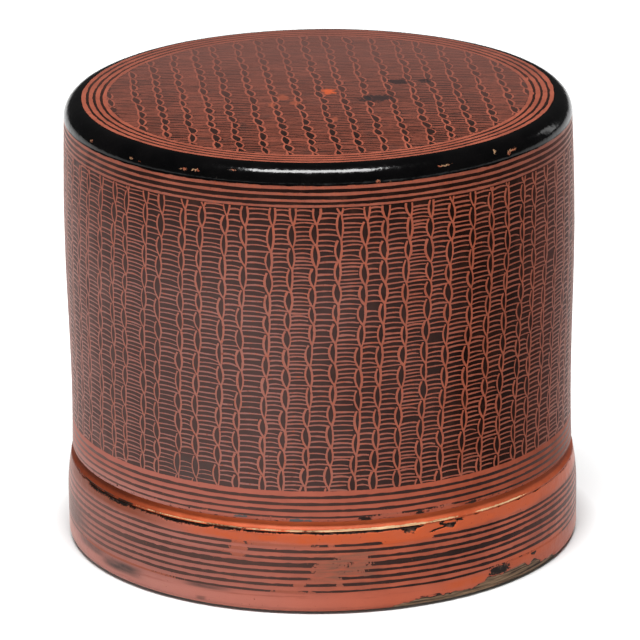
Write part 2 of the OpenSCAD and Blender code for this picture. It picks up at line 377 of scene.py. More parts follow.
body_r, wall_r = reach("body_coat"), reach("body_wall")
wall_ir, inside_r = reach("body_floor"), reach("tray_ledge")
lining_t = 0.6 * mm
lining_round = 0.4 * mm
rim_round = 0.9 * mm
plain_step = 2.4 * mm
plain_around = 300
well_z = brim("body_floor") + lining_t
coat_z, coat_top = foot("body_coat"), brim("body_coat")
body_coat = turned("body_coat_red", half_outline(
    (wall_r, coat_z), (body_r, coat_z), (body_r, coat_top), (wall_r, coat_top),
), around=plain_around, worn=wound)
fit(body_coat, red_lacquer, "base", "red_lacquer", "body_coat")
body_lining = turned("body_lining_red", half_outline(
    (0, foot("body_lining")), (wall_ir, foot("body_lining")), (wall_ir, brim("body_lining")),
    (inside_r, brim("body_lining")), (inside_r, well_z, lining_round), (0, well_z), step=plain_step,
), around=plain_around)
fit(body_lining, red_lacquer, "base", "red_lacquer", "body_lining")
body_rim = turned("body_rim_red", half_outline(
    (inside_r, foot("body_rim")), (body_r, foot("body_rim")), (body_r, brim("body_rim"), rim_round),
    (inside_r, brim("body_rim"), rim_round), step=0.6 * mm,
), around=plain_around, rubbed=rim_rubbed)
fit(body_rim, red_lacquer, "base", "red_lacquer", "body_rim")


# Band coat: red lacquer on the thick hoop, turned under its lower edge. Handling has worn it: the upper
# edge is chipped, one stretch of the lower edge is down to bamboo, and dark smudges lie beside it.
band_r = reach("band_coat")
band_z, band_top = foot("band_coat"), brim("band_coat")
lean_r = ((band_top - band_straight) ** 2 + band_lean**2) / (2 * band_lean)
band_uneven = 0.07 * mm


def band_side(z):
    """Radius of the band: upright, then leaning in on a wide arc above its straight part."""
    up = np.maximum(z - band_straight, 0)
    return band_r - lean_r + np.sqrt(lean_r**2 - up**2)


def from_front(a):
    """Degrees to the right of the front, from -180 to 180."""
    return (np.degrees(a) + 270) % 360 - 180


def patches(a, z, *spots):
    """Worn spots, given as degrees to the right of the front, height in mm, half width in degrees and half
    height in mm. Each is a soft pillow of height 1 that falls off with the fourth power of the distance; the
    highest counts."""
    worn = 0 * a
    for degrees, height, wide, tall in spots:
        turn = (from_front(a) - degrees + 180) % 360 - 180
        worn = np.maximum(worn, np.exp(-((turn / wide) ** 4) - ((z / mm - height) / tall) ** 4))
    return worn


def ragged(a, z, seed):
    """Torn edges: two random fields, of 2.5 mm and 1 mm cells, added up."""
    return 0.6 * clouds(a, z, 2.5 * mm, seed) + 0.4 * clouds(a, z, 1.0 * mm, seed + 1)


def frayed(spots, a, z, amount, seed, share=1.0, above=0.02):
    """A share of worn spots, whose edges are torn by this amount wherever the spots are above a limit."""
    return share * spots + amount * ragged(a, z, seed) * (spots > above)


def stretch(a, middle, half, power=6):
    """Share of a stretch of an edge: 1 near its middle, falling off steeply beyond half degrees from it."""
    return np.exp(-(((from_front(a) - middle) / half) ** power))


def stretches(a, *parts, power=6):
    """Sum of stretches (share, middle, half) of an edge."""
    return sum(share * stretch(a, middle, half, power) for share, middle, half in parts)


def band_bare(a, r, z):
    """Down to bamboo: a strip up from the lower edge at the right, highest where a hand takes hold, and odd
    spots round the back."""
    climb = stretches(a, (1.7, 31, 14), (1.9, 44, 6), (2.7, 50, 6), (1.2, 59, 5)) * mm
    strip = (0.5 + (np.minimum(climb, 2.9 * mm) - (z - band_z)) / (1.3 * mm)) * (climb > 0.05 * mm)
    spots = patches(a, z, (150, 1.0, 18, 1.4), (-140, 2.0, 9, 2.0))
    worn = frayed(np.maximum(strip, spots), a, z, 0.7, 11, above=0.1)
    return np.clip(worn, 0, 1) * (r > band_r - 2.5 * mm)


def band_chips(a, r, z):
    """Dark chips: a torn line along the upper edge, thick at the left and at one knock on the right, and a
    block beside the bare strip."""
    share = 0.25 + stretches(a, (0.72, -49, 21), (0.66, -20, 12), (0.74, 5, 14), (0.3, 19.6, 2))
    deep = (0.50 + stretches(a, (0.25, -20, 12), (0.12, 5, 14), (0.55, -49, 21), (1.3, 19.6, 1.9))) * mm
    edge = np.exp(-(((band_top - z) / deep) ** 2)) * (share + 0.6 * ragged(a, z * 0.6, 23))
    knock = patches(a, z - band_top, (25.5, -1.1, 7.5, 1.3), (31.5, -0.6, 1.4, 0.8))
    cracks = 1.1 - 3.4 * np.abs(ragged(a / 2.2, z * 1.3, 29))
    spots = patches(a, z, (42.5, 4.65, 3.9, 1.2), (54, 5.4, 1.0, 0.6), (170, 4.0, 6, 0.8))
    block = frayed(spots, a, z, 0.4, 25, share=0.85, above=0.05)
    return np.clip(np.maximum.reduce([edge, 0.98 * knock * cracks, block]), 0, 1)


def band_smudge(a, r, z):
    """Soft dark smudges low at the left, fainter further round, and one along the lowest line."""
    main = patches(a, z, (-51.5, 3.9, 7.0, 1.4), (120, 5.0, 9, 1.2))
    faint = patches(
        a, z, (-64, 5.0, 7, 1.2), (-80, 9.5, 12, 3.0), (-26.5, 5.1, 5.5, 0.6), (-28, 1.9, 1.2, 0.5),
    )
    return np.maximum(main, 0.80 * faint)


def band_fresh(a, r, z):
    """Where the red has kept its first orange: a strip under the upper edge, and above the bare strip."""
    deep = (3.0 + 1.3 * stretch(a, 18, 8) + 0.3 * clouds(a, z * 0, 4 * mm, 17)) * mm
    strip = np.clip((z - band_top + deep) / (0.7 * mm), 0, 1) * (1 - stretch(a, -70, 40))
    return np.maximum(strip, patches(a, z, (56, 5.6, 13, 1.6), (33, 4.0, 6, 1.0)))


def band_dulled(a, r, z):
    """A brown, greasy strip under the upper edge at the left, where the lid is taken off."""
    return np.clip((z - band_top + 2.9 * mm) / (1.1 * mm), 0, 1) * stretch(a, -64, 28)


def band_scuffed(a, r, z):
    """A rubbed patch just right of the front, and one round the back."""
    return patches(a, z, (5, 11.8, 7.5, 4.4), (165, 12.0, 12, 4.0))


def band_loss(a, r, z):
    """Depth lost where the coat is worn through or chipped, and a little hand-laid unevenness all over."""
    worn = 0.22 * mm * np.clip(3 * band_bare(a, r, z) - 1, 0, 1)
    chipped = 0.3 * mm * np.clip(3 * band_chips(a, r, z) - 1.2, 0, 1) * (z > band_top - 2.4 * mm)
    uneven = band_uneven + 0.05 * mm * clouds(a, z, 14 * mm, 5)
    return (uneven + worn + chipped) * (r > band_side(z) - 0.3 * mm)


def times(tree, first, second):
    """Product of two shares."""
    return shade(tree, "Math", first, second, operation="MULTIPLY")


def along(tree, axis, low, high, to_low, to_high, drift=None):
    """Value that runs from to_low to to_high between two places on an axis. A drift shifts them."""
    place = shade(tree, "SeparateXYZ", own(tree), out=axis)
    if drift is not None:
        place = shade(tree, "Math", place, drift, operation="ADD")
    return shade(tree, "MapRange", place, low, high, to_low, to_high)


def painted_left_haze(tree, haze_colour, begins=34 * mm, run=54 * mm):
    """Lays over a finish a painted haze: a paler colour that stands for light reflected on the side towards
    -X, from where that begins and over this run, with cloudy borders, but hardly near the top."""
    drift = grain(tree, 20 * mm, 0.3, 0.7, -9 * mm, 9 * mm)
    lit = along(tree, "X", begins - run, begins, 1.0, 0.0, drift)
    lay_over(tree, times(tree, lit, along(tree, "Z", 76 * mm, 106 * mm, 1.0, 0.05)), haze_colour, 0.50)


def painted_right_shade(tree, share=0.30):
    """Lays over a finish a painted shade that darkens it towards +X, up to this share."""
    lay_over(tree, along(tree, "X", 30 * mm, 56 * mm, 0.0, share), (0.020, 0.007, 0.005), 0.50)


rub_scale = (160.0, 160.0, 1600.0)
scuff_brown = (0.165, 0.070, 0.047)


def scuffed(tree):
    """Share of the rubbed patches, broken up into level streaks."""
    streaks = stretched(tree, *rub_scale)
    return times(tree, mark(tree, "scuffed"), grain(tree, 1.0, 0.40, 0.60, at=streaks))


band_red, tree = lacquer(
    "band_red", deep=(0.245, 0.056, 0.030), clear=(0.345, 0.082, 0.044), cloud=10 * mm, gloss=0.34,
    rubbed=0.50, dent=0.06 * mm, specular=0.08, bloom=0.24,
)
# Painted haze towards -X.
painted_left_haze(tree, (0.290, 0.106, 0.083), 16 * mm)
# Painted haze on the band's lower part: lighter, pinkish grey at the left and orange at the right.
rightwards = along(tree, "X", -40 * mm, 15 * mm, 0.0, 1.0)
pale = between(tree, rightwards, (0.40, 0.158, 0.126), (0.39, 0.086, 0.044))
lay_over(tree, along(tree, "Z", 3.5 * mm, 6 * mm, 0.7, 0.0), pale, 0.45)
# Painted shade towards +X.
painted_right_shade(tree, 0.08)
kept = times(tree, mark(tree, "fresh"), grain(tree, 4 * mm, 0.3, 0.6, 0.6, 1.0))
lay_over(tree, kept, (0.37, 0.068, 0.022), 0.40)
scuffs = stretched(tree, 45.0, 45.0, 900.0)
greasy = times(tree, mark(tree, "dulled"), grain(tree, 1.0, 0.3, 0.6, 0.75, 1.0, at=scuffs))
lay_over(tree, greasy, (0.155, 0.040, 0.020), 0.5)
lay_over(tree, grain(tree, 1.0, 0.58, 0.80, at=scuffs), (0.20, 0.050, 0.030), 0.55)
lay_over(tree, scuffed(tree), scuff_brown, 0.60)
lay_over(tree, grain(tree, 0.6 * mm, 0.67, 0.74), (0.06, 0.016, 0.011), 0.5)
level = stretched(tree, 90.0, 90.0, 500.0)
smudged = times(tree, mark(tree, "smudge"), grain(tree, 1.0, 0.30, 0.60, 0.50, 0.95, at=level))
lay_over(tree, smudged, (0.042, 0.034, 0.031), 0.55)
flaked = between(tree, grain(tree, 1.3 * mm, 0.50, 0.66), (0.009, 0.006, 0.005), (0.075, 0.038, 0.026))
lay_over(tree, torn(tree, "chips", 0.5 * mm, 0.25, 0.48, 0.58), flaked, 0.55)
rubs = stretched(tree, *rub_scale)
lay_over(tree, torn(tree, "bare", 1.0, 0.34, 0.36, 0.44, at=rubs), (0.018, 0.012, 0.010), 0.6)
fibres = between(tree, grain(tree, 0.5, 0.38, 0.66, at=scuffs), (0.022, 0.014, 0.010), (0.27, 0.174, 0.106))
lay_over(tree, torn(tree, "bare", 1.0, 0.34, 0.50, 0.62, at=rubs), fibres, 0.7)


def arc(x, z, radius, start, end, count):
    """Points on an arc about (x, z), evenly from one angle in degrees to another."""
    angle = np.radians(np.linspace(start, end, count))
    return np.stack([x + radius * np.cos(angle), z + radius * np.sin(angle)], -1)


edge_zone = 2 * mm
up = np.concatenate([
    np.linspace(band_z + band_corner, band_top - edge_zone, 46),
    np.linspace(band_top - edge_zone, band_top, 14)[1:],
])
down = np.linspace(band_top, band_z + band_corner, 12)
band_coat = turned("band_coat_red", np.concatenate([
    arc(band_r - band_corner, band_z + band_corner, band_corner, -90, 0, 9)[:-1],
    np.stack([band_side(up), up], -1),
    np.stack([band_side(down) - coat_t, down], -1),
    [[band_r - band_corner, band_z + coat_t]],
]), around=900, worn=band_loss, bare=band_bare, chips=band_chips, smudge=band_smudge, fresh=band_fresh,
    dulled=band_dulled, scuffed=band_scuffed)
fit(band_coat, band_red, "base", "lined_lacquer", "band_coat")


# Band lines: engraved round the band on a turning spindle, filled with dark lacquer and rubbed level.
# They waver a little, the fourth is broad, and they break off where the coat is worn.
line_proud = 0.03 * mm
line_sunk = 0.12 * mm


def inlay(name, paths, widths, bend, proud, closed=False, **marks):
    """Inlaid lines: each path, a row of points (s, t) on the flat panel, is swept by a flat four-cornered
    section of the given widths. Two corners lie proud above the ground and two sunk below it, and
    bend(s, t, lift) lays the panel on the box. Marks are functions of (s, t)."""
    forward = np.gradient(paths, axis=1)
    across = np.stack([-forward[..., 1], forward[..., 0]], -1)
    across *= (widths / np.linalg.norm(across, axis=-1) / 2)[..., None]
    left, right = paths + across, paths - across
    edge = np.stack([left, right, right, left], 2)
    proud = proud + 0 * widths
    sunk = np.minimum(proud, 0) - line_sunk
    lift = np.stack([proud, proud, sunk, sunk], -1)
    points = bend(edge[..., 0], edge[..., 1], lift).reshape(-1, 3)
    index = np.arange(lift.size).reshape(lift.shape)
    here, on = (index, np.roll(index, -1, 1)) if closed else (index[:, :-1], index[:, 1:])
    faces = [np.stack([here, np.roll(here, -1, 2), np.roll(on, -1, 2), on], -1).reshape(-1, 4)]
    if not closed:
        faces += [index[:, 0, [0, 3, 2, 1]], index[:, -1, [0, 1, 2, 3]]]
    low, high = paths.reshape(-1, 2).min(0) - 1e-3, paths.reshape(-1, 2).max(0) + 1e-3
    sheet = ((edge - low) / (high - low)).reshape(-1, 2)
    marks = {label: field(edge[..., 0], edge[..., 1]) for label, field in marks.items()}
    return put_mesh(name, points, faces, [sheet[f] for f in faces], False, marks)


def rings(heights, widths, steps, waver, seed):
    """Paths round the box at these heights, with a slow waver and a fine tremble of height and of width. Each
    takes them from a row of its own in the random fields, 7.3 mm from the next."""
    turn = np.repeat(np.arange(steps)[None] * 2 * np.pi / steps, len(heights), 0)
    row = np.arange(len(heights))[:, None] * 7.3 * mm + 0 * turn
    tremble = clouds(turn, row, 1.3 * mm, seed + 2)
    height = np.array(heights)[:, None] + waver * clouds(turn, row, 13 * mm, seed) + 0.03 * mm * tremble
    width = np.array(widths)[:, None] * (1 + 0.20 * clouds(turn, row, 4 * mm, seed + 1) + 0.16 * tremble)
    return np.stack([turn, height], -1), width


line_heights = np.array([17.30, 15.85, 14.15, 12.4, 10.7, 9.0, 7.4, 5.85]) * mm
line_widths = np.array([0.62, 0.68, 0.72, 1.12, 0.68, 0.68, 0.70, 0.50]) * mm
line_dips = np.array([0.60, 0.40, 0.25, 0.20, 0, 0, 0, 0]) * mm


def lines_worn(a, z):
    """How far the lines are worn off: right of the front, a short gap left of it, most of the first, odd ones
    elsewhere."""
    spots = patches(
        a, z, (6.5, 14.15, 4.5, 0.8), (5, 12.4, 7.6, 0.9), (3.2, 10.7, 7.0, 0.8), (0.5, 9.0, 4.6, 0.7),
        (-5.5, 7.4, 1.6, 0.6), (3.5, 7.4, 0.9, 0.6), (-18.6, 15.7, 2.1, 2.6), (-10, 17.30, 9.5, 0.7),
        (1.8, 17.30, 0.9, 0.7), (18.7, 17.30, 6.2, 0.7), (54, 4.6, 17, 1.9), (-52, 5.65, 20, 0.8),
        (-7, 5.65, 6, 0.6), (99, 10.7, 3.5, 0.8), (101, 9.0, 5.5, 0.8), (163, 12.4, 3.5, 0.9),
        (166, 14.15, 5.0, 0.8), (-121, 7.4, 6.0, 0.7), (-150, 17.30, 9, 0.7),
    )
    return np.clip(frayed(spots, a, z, 0.35, 31, share=0.85) + 0.12 * clouds(a, z, 6 * mm, 33), 0, 1)


def on_band(a, z, lift):
    """Angle and height on the band, lifted off its coat."""
    return about_axis(a, band_side(z) - band_loss(a, band_side(z), z) + lift, z)


line_black, tree = lacquer(
    "line_black", deep=(0.009, 0.004, 0.003), clear=(0.022, 0.009, 0.007), cloud=5 * mm, gloss=0.35,
    rubbed=0.55, dent=0.03 * mm, specular=0.05, bloom=0.26,
)
# Painted haze towards -X.
painted_left_haze(tree, (0.062, 0.032, 0.026))
# Painted haze at the far left, pale, and at the far right, reddish.
lay_over(tree, along(tree, "X", -60 * mm, -42 * mm, 0.7, 0.0), (0.16, 0.080, 0.066), 0.5)
lay_over(tree, along(tree, "X", 42 * mm, 60 * mm, 0.0, 0.5), (0.11, 0.034, 0.024), 0.5)
lay_over(tree, grain(tree, 0.5 * mm, 0.64, 0.72, 0.0, 0.7), (0.20, 0.056, 0.034), 0.5)
ghost = between(tree, mark(tree, "fresh"), (0.255, 0.074, 0.046), (0.36, 0.066, 0.022))
worn_off = torn(tree, "worn", 0.6 * mm, 0.25, 0.42, 0.54)
lay_over(tree, worn_off, ghost, 0.5)
lay_over(tree, times(tree, scuffed(tree), worn_off), scuff_brown, 0.6)
# Painted shade towards +X.
painted_right_shade(tree, 0.15)

paths, widths = rings(line_heights, line_widths, steps=900, waver=0.12 * mm, seed=41)
paths[..., 1] -= line_dips[:, None] * stretch(paths[..., 0], 62, 32)
band_lines = inlay(
    "band_lines_dark", paths, widths, on_band, line_proud, closed=True,
    worn=lines_worn, fresh=lambda a, z: band_fresh(a, 0, z), scuffed=lambda a, z: band_scuffed(a, 0, z),
)
fit(band_lines, line_black, "base", "lined_lacquer")


# Ledge hoop: the bamboo hoop that carries the lid, in bright orange-red lacquer on its hollow sloping face.
# Its outer edge is rubbed down to pale bamboo at the front and chipped black at the left.
ledge_r, ledge_z, seat_z = reach("ledge_hoop"), foot("ledge_hoop"), brim("ledge_hoop")
ledge_edge = 0.4 * mm
ledge_in = 1.6 * mm
ledge_hollow = 0.16 * mm
ledge_round = 0.25 * mm
seat_round = 0.12 * mm


def off_edge(r, z):
    """Distance from the corner between the ledge's upright edge and its sloping face."""
    return np.hypot(r - ledge_r, z - ledge_z - ledge_edge)


def ledge_bare(a, r, z):
    """Rubbed bamboo on the corner: brightest at the front, in streaks to both sides, and round the back."""
    share = stretches(a, (1, 7, 27), (0.75, -34, 17), (0.85, 44.5, 8.5), (0.7, 160, 35), power=4)
    wide = (0.26 + 0.20 * stretch(a, 15, 20, power=2)) * mm
    return np.clip(np.exp(-((off_edge(r, z) / wide) ** 2)) * (share + 0.45 * ragged(a, z * 0, 51)), 0, 1)


def ledge_chips(a, r, z):
    """Black chips under the corner at the left, where the lacquer has flaked, and at the right's knock."""
    share = stretches(
        a, (1, -58, 21), (0.95, -24, 13), (0.75, 4, 15), (1, 20, 2.2), (0.6, 27, 5), (0.7, 100, 18),
        (0.5, -150, 25),
    )
    near = np.exp(-((off_edge(r, z) / (0.42 * mm)) ** 2)) * (z < ledge_z + ledge_edge + 0.15 * mm)
    return np.clip(near * share * (0.75 + 0.9 * ragged(a, z * 0, 57)), 0, 1)


def ledge_loss(a, r, z):
    """Hollow of the sloping face, and the depth lost where the edge is rubbed or chipped."""
    outer = r > ledge_r - ledge_in
    run = np.clip((ledge_r - r) / ledge_in, 0, 1)
    hollow = ledge_hollow * np.sin(np.pi * run) * (z > ledge_z + 0.5 * ledge_edge)
    lost = 0.03 * mm + 0.12 * mm * ledge_bare(a, r, z) + 0.25 * mm * ledge_chips(a, r, z)
    return (hollow + lost) * outer


ledge_orange, tree = lacquer(
    "ledge_orange", deep=(0.31, 0.056, 0.020), clear=(0.42, 0.086, 0.034), cloud=7 * mm, gloss=0.32,
    rubbed=0.46, dent=0.04 * mm, specular=0.07,
)
# Painted light: a brighter orange up the sloping face towards the lid, against the shade under it.
lay_over(tree, along(tree, "Z", ledge_z + 0.7 * mm, seat_z - 0.5 * mm, 0.0, 0.6), (0.62, 0.130, 0.046), 0.4)
# Painted shadow just under the lid's edge.
lid_shadow = along(tree, "Z", seat_z - 0.25 * mm, seat_z - 0.1 * mm, 0.0, 0.5)
lay_over(tree, lid_shadow, (0.030, 0.008, 0.005), 0.6)
# Painted shade at the left and, fainter, at the right.
lay_over(tree, along(tree, "X", -48 * mm, -28 * mm, 0.85, 0.0), (0.090, 0.015, 0.005), 0.5)
lay_over(tree, along(tree, "X", 22 * mm, 44 * mm, 0.0, 0.40), (0.090, 0.018, 0.008), 0.5)
lay_over(tree, grain(tree, 0.5 * mm, 0.68, 0.75), (0.08, 0.016, 0.010), 0.5)
lay_over(tree, torn(tree, "chips", 0.4 * mm, 0.22, 0.40, 0.50), (0.012, 0.008, 0.006), 0.5)
scuffs = stretched(tree, 50.0, 50.0, 1500.0)
pale_bamboo = between(tree, grain(tree, 1.0, 0.3, 0.7, at=scuffs), (0.28, 0.155, 0.070), (0.60, 0.42, 0.25))
lay_over(tree, torn(tree, "bare", 0.4 * mm, 0.22, 0.40, 0.58), pale_bamboo, 0.5)

ledge = turned("ledge_hoop_orange", half_outline(
    (wall_r, ledge_z), (ledge_r, ledge_z), (ledge_r, ledge_z + ledge_edge, ledge_round),
    (ledge_r - ledge_in, seat_z, seat_round), (wall_r, seat_z), step=0.16 * mm,
), around=720, worn=ledge_loss, bare=ledge_bare, chips=ledge_chips)
fit(ledge, ledge_orange, "base", "red_lacquer", "ledge_hoop")


# Tray ledge: a bamboo hoop glued inside the body, lacquered red with the lining. The lower tray stands on
# it, clear of the well underneath.
tray_ledge_ir = inside_r - 3.6 * mm
tray_ledge_round = 0.5 * mm
tray_ledge_z, tray_ledge_top = foot("tray_ledge"), brim("tray_ledge")
tray_ledge = turned("tray_ledge_red", half_outline(
    (tray_ledge_ir, tray_ledge_z, tray_ledge_round), (inside_r, tray_ledge_z), (inside_r, tray_ledge_top),
    (tray_ledge_ir, tray_ledge_top, tray_ledge_round),
), around=plain_around)
fit(tray_ledge, red_lacquer, "base", "red_lacquer", "tray_ledge")


# Trays: each is a coiled floor disc in a thin wound wall, with a rim hoop, coated red outside and lined red.
# The upper tray's floor has a step that drops inside the lower tray's rim. Underneath the coils show.
tray_coat_t = 0.5 * mm
tray_round = 0.25 * mm
tray_rim_round = 0.8 * mm
tray_step_gap = 0.4 * mm
tray_step_round = 0.3 * mm
for tray in ("lower_tray", "upper_tray"):
    out_r, core_r, core_ir = reach(tray + "_coat"), reach(tray + "_wall"), reach(tray + "_floor")
    in_r = core_ir - tray_coat_t
    step_r = in_r - tray_step_gap
    seat, rim, rim_top = foot(tray + "_coat"), foot(tray + "_rim"), brim(tray + "_rim")
    floor_low, floor_top = foot(tray + "_floor"), foot(tray + "_lining")
    under = [(0, seat), (core_ir, seat)]
    if floor_low < seat - 0.1 * mm:
        under = [(0, floor_low), (step_r, floor_low, tray_step_round), (step_r, seat), (core_ir, seat)]
    floor_disc = turned(tray + "_floor_coiled", half_outline(
        *under, (core_ir, floor_top), (0, floor_top), step=coil_step,
    ), around=coil_around, worn=coil)
    fit(floor_disc, split_bamboo, tray, "bamboo", tray + "_floor")
    wall = turned(tray + "_wall_wound", half_outline(
        (core_ir, seat), (core_r, seat), (core_r, rim), (core_ir, rim),
    ), around=plain_around)
    fit(wall, split_bamboo, tray, "bamboo", tray + "_wall")
    coat = turned(tray + "_coat_red", half_outline(
        (core_r, seat), (out_r, seat, tray_round), (out_r, rim), (core_r, rim),
    ), around=plain_around, worn=wound)
    fit(coat, red_lacquer, tray, "red_lacquer", tray + "_coat")
    lining = turned(tray + "_lining_red", half_outline(
        (0, floor_top), (core_ir, floor_top), (core_ir, rim), (in_r, rim),
        (in_r, floor_top + tray_coat_t, lining_round), (0, floor_top + tray_coat_t), step=plain_step,
    ), around=plain_around)
    fit(lining, red_lacquer, tray, "red_lacquer", tray + "_lining")
    hoop = turned(tray + "_rim_red", half_outline(
        (in_r, rim), (out_r, rim), (out_r, rim_top, tray_rim_round), (in_r, rim_top, tray_rim_round),
        step=0.5 * mm,
    ), around=plain_around, rubbed=rim_rubbed)
    fit(hoop, red_lacquer, tray, "red_lacquer", tray + "_rim")


# Lid lining and mouth hoop: plain red lacquer inside the lid, and the bamboo hoop that edges its mouth,
# whose lower end is bare where the lid sits on the ledge.
lid_core_ir = reach("lid_lining")
lid_ir = lid_core_ir - lining_t
lid_lip_round = 0.2 * mm
lid_corner_round = 0.8 * mm
lining_z, lining_top = foot("lid_lining"), brim("lid_lining")
lining = turned("lid_lining_red", half_outline(
    (lid_ir, lining_z, lid_lip_round), (lid_core_ir, lining_z), (lid_core_ir, lining_top), (0, lining_top),
    (0, lining_top - lining_t), (lid_ir, lining_top - lining_t, lid_corner_round), step=plain_step,
), around=plain_around)
fit(lining, red_lacquer, "lid", "red_lacquer", "lid_lining")

belly_r = reach("lid_wall_coat")
mouth_z, shoulder_z = foot("lid_wall_coat"), brim("lid_wall_coat")
lid_draw = 0.8 * mm
waist_up, belly_up = 12 * mm, 56 * mm


def lid_side(z):
    """Radius of the lid's side: a cosine wave that swells from the waist to the belly and draws in again."""
    wave = np.cos(np.pi * (z - mouth_z - waist_up) / (belly_up - waist_up))
    return belly_r - lid_draw + lid_draw * (1 - wave) / 2


up = np.linspace(mouth_z, brim("lid_mouth_hoop"), 6)
hoop = turned("lid_mouth_hoop_bare", np.concatenate([
    np.stack([lid_side(up) - coat_t, up], -1),
    [[lid_core_ir, up[-1]], [lid_core_ir, up[0]]],
]), around=plain_around)
fit(hoop, split_bamboo, "lid", "bamboo", "lid_mouth_hoop")


# Lid wall coat: black lacquer over putty, laid and polished by hand so that it is never quite even.
# Below the engraved field it changes to red, which runs down over the rounded lower edge.
field_low, field_high = mouth_z + 7.75 * mm, shoulder_z - 5.35 * mm
mouth_round = 0.6 * mm
lid_uneven = 0.07 * mm
nick_places = (-17, 8, 21, 34, 117, 171, -140)


def wall_loss(a, r, z):
    """Hand-laid unevenness of the lid's wall, from broad and narrow clouds, with nicks in the lower edge."""
    nicks = patches(a, z - mouth_z, *[(degrees, 0, 2.2, 0.6) for degrees in nick_places])
    nicks = np.clip(nicks + 0.8 * ragged(a, z, 63) - 0.6, 0, 1) * (z < mouth_z + 1 * mm)
    uneven = lid_uneven + 0.03 * mm * clouds(a, z, 22 * mm, 61) + 0.02 * mm * clouds(a, z, 7 * mm, 62)
    return uneven + 0.25 * mm * nicks


def wall_chips(a, r, z):
    """Chips at the lid's lower edge, at the places seen in front and a few round the back."""
    spots = patches(
        a, z - mouth_z, (-18.6, 0.85, 1.7, 0.4), (-5, 0.35, 2.6, 0.4), (9, 0.4, 1.6, 0.4),
        (22, 0.5, 1.2, 0.4), (35, 0.4, 2.0, 0.4), (118, 0.5, 2.0, 0.4), (-140, 0.5, 3.0, 0.4),
    )
    return np.clip(frayed(spots, a, z, 0.5, 65), 0, 1)


def wall_smear(a, r, z):
    """A dull smear low at the left, where the engraving is rubbed."""
    return patches(a, z - field_low, (-31, 2.8, 6.0, 3.2))


def wall_skin_loss(a, r, z):
    """The wall's unevenness and nicks, on the outer skin of the coat alone."""
    return wall_loss(a, r, z) * (r > lid_side(z) - 0.4 * mm)


lid_ground, tree = lacquer(
    "lid_ground", deep=(0.006, 0.0018, 0.0010), clear=(0.015, 0.0050, 0.0030), cloud=14 * mm, gloss=0.34,
    rubbed=0.52, dent=0.04 * mm, specular=0.012, bloom=0.10,
)
lay_over(tree, grain(tree, 3.5 * mm, 0.54, 0.74), (0.028, 0.010, 0.006), 0.5)
# Painted haze towards -X.
painted_left_haze(tree, (0.063, 0.038, 0.034), 36 * mm)
# Painted haze at the far left, pale grey, and at the far right, dark red, both mottled by noise.
haze_mottle = grain(tree, 6 * mm, 0.36, 0.64, 0.30, 1.0)
far_left_haze = along(tree, "X", -64 * mm, -44 * mm, 0.78, 0.0)
lay_over(tree, times(tree, far_left_haze, haze_mottle), (0.170, 0.098, 0.086), 0.5)
ruddy = along(tree, "X", 46 * mm, 60 * mm, 0.0, 0.80)
lay_over(tree, times(tree, ruddy, haze_mottle), (0.112, 0.027, 0.017), 0.5)
smeared = times(tree, mark(tree, "smear"), grain(tree, 2.5 * mm, 0.35, 0.65, 0.3, 0.9))
lay_over(tree, smeared, (0.068, 0.048, 0.044), 0.6)
waver = grain(tree, 2 * mm, 0.3, 0.7, -0.08 * mm, 0.08 * mm)
border = along(tree, "Z", field_low - 0.05 * mm, field_low + 0.05 * mm, 1.0, 0.0, waver)
border_red = between(tree, grain(tree, 6 * mm, 0.35, 0.65), (0.260, 0.057, 0.029), (0.330, 0.076, 0.040))
lay_over(tree, border, border_red, 0.45)
# Painted haze on the red border, paler towards -X.
lit = along(tree, "X", -45 * mm, 34 * mm, 0.9, 0.0)
lay_over(tree, times(tree, border, lit), (0.335, 0.114, 0.088), 0.5)
# Painted haze along the lower edge at the left: pinkish grey.
near_edge = along(tree, "Z", mouth_z + 1 * mm, mouth_z + 4.5 * mm, 0.6, 0.0)
far_side = along(tree, "X", -56 * mm, -28 * mm, 1.0, 0.0)
lay_over(tree, times(tree, near_edge, far_side), (0.38, 0.205, 0.180), 0.5)
# Painted shade towards +X.
painted_right_shade(tree)
at_edge = along(tree, "Z", mouth_z + 0.2 * mm, mouth_z + 1.5 * mm, 0.10, -0.20)
nicked = grain(tree, 1.6 * mm, 0.3, 0.7, at=stretched(tree, 1.0, 1.0, 2.5))
lay_over(tree, over(tree, nicked, at_edge, 0.78, 0.86), (0.040, 0.020, 0.017), 0.5)
putty = between(tree, along(tree, "X", 0.0, 6 * mm, 1.0, 0.0), (0.022, 0.014, 0.012), (0.09, 0.08, 0.08))
lay_over(tree, torn(tree, "chips", 0.5 * mm, 0.25, 0.48, 0.58), putty, 0.55)

up = np.linspace(mouth_z + mouth_round, shoulder_z, 110)
down = np.linspace(shoulder_z, mouth_z, 20)
wall_coat = turned("lid_wall_coat_black", np.concatenate([
    arc(lid_side(mouth_z) - mouth_round, mouth_z + mouth_round, mouth_round, -90, 0, 7)[:-1],
    np.stack([lid_side(up), up], -1),
    np.stack([lid_side(down) - coat_t, down], -1),
]), around=600, worn=wall_skin_loss, chips=wall_chips, smear=wall_smear)
fit(wall_coat, lid_ground, "lid", "engraved_lacquer", "lid_wall_coat")


# Wall borders: four red lines under the shoulder, and four dark lines in the red below the engraved field,
# cut while the lid turned on a spindle, filled and rubbed level with the coat.
def on_wall(a, z, lift):
    """Angle and height on the lid's wall, lifted off its coat."""
    return about_axis(a, lid_side(z) - wall_loss(a, lid_side(z), z) + lift, z)


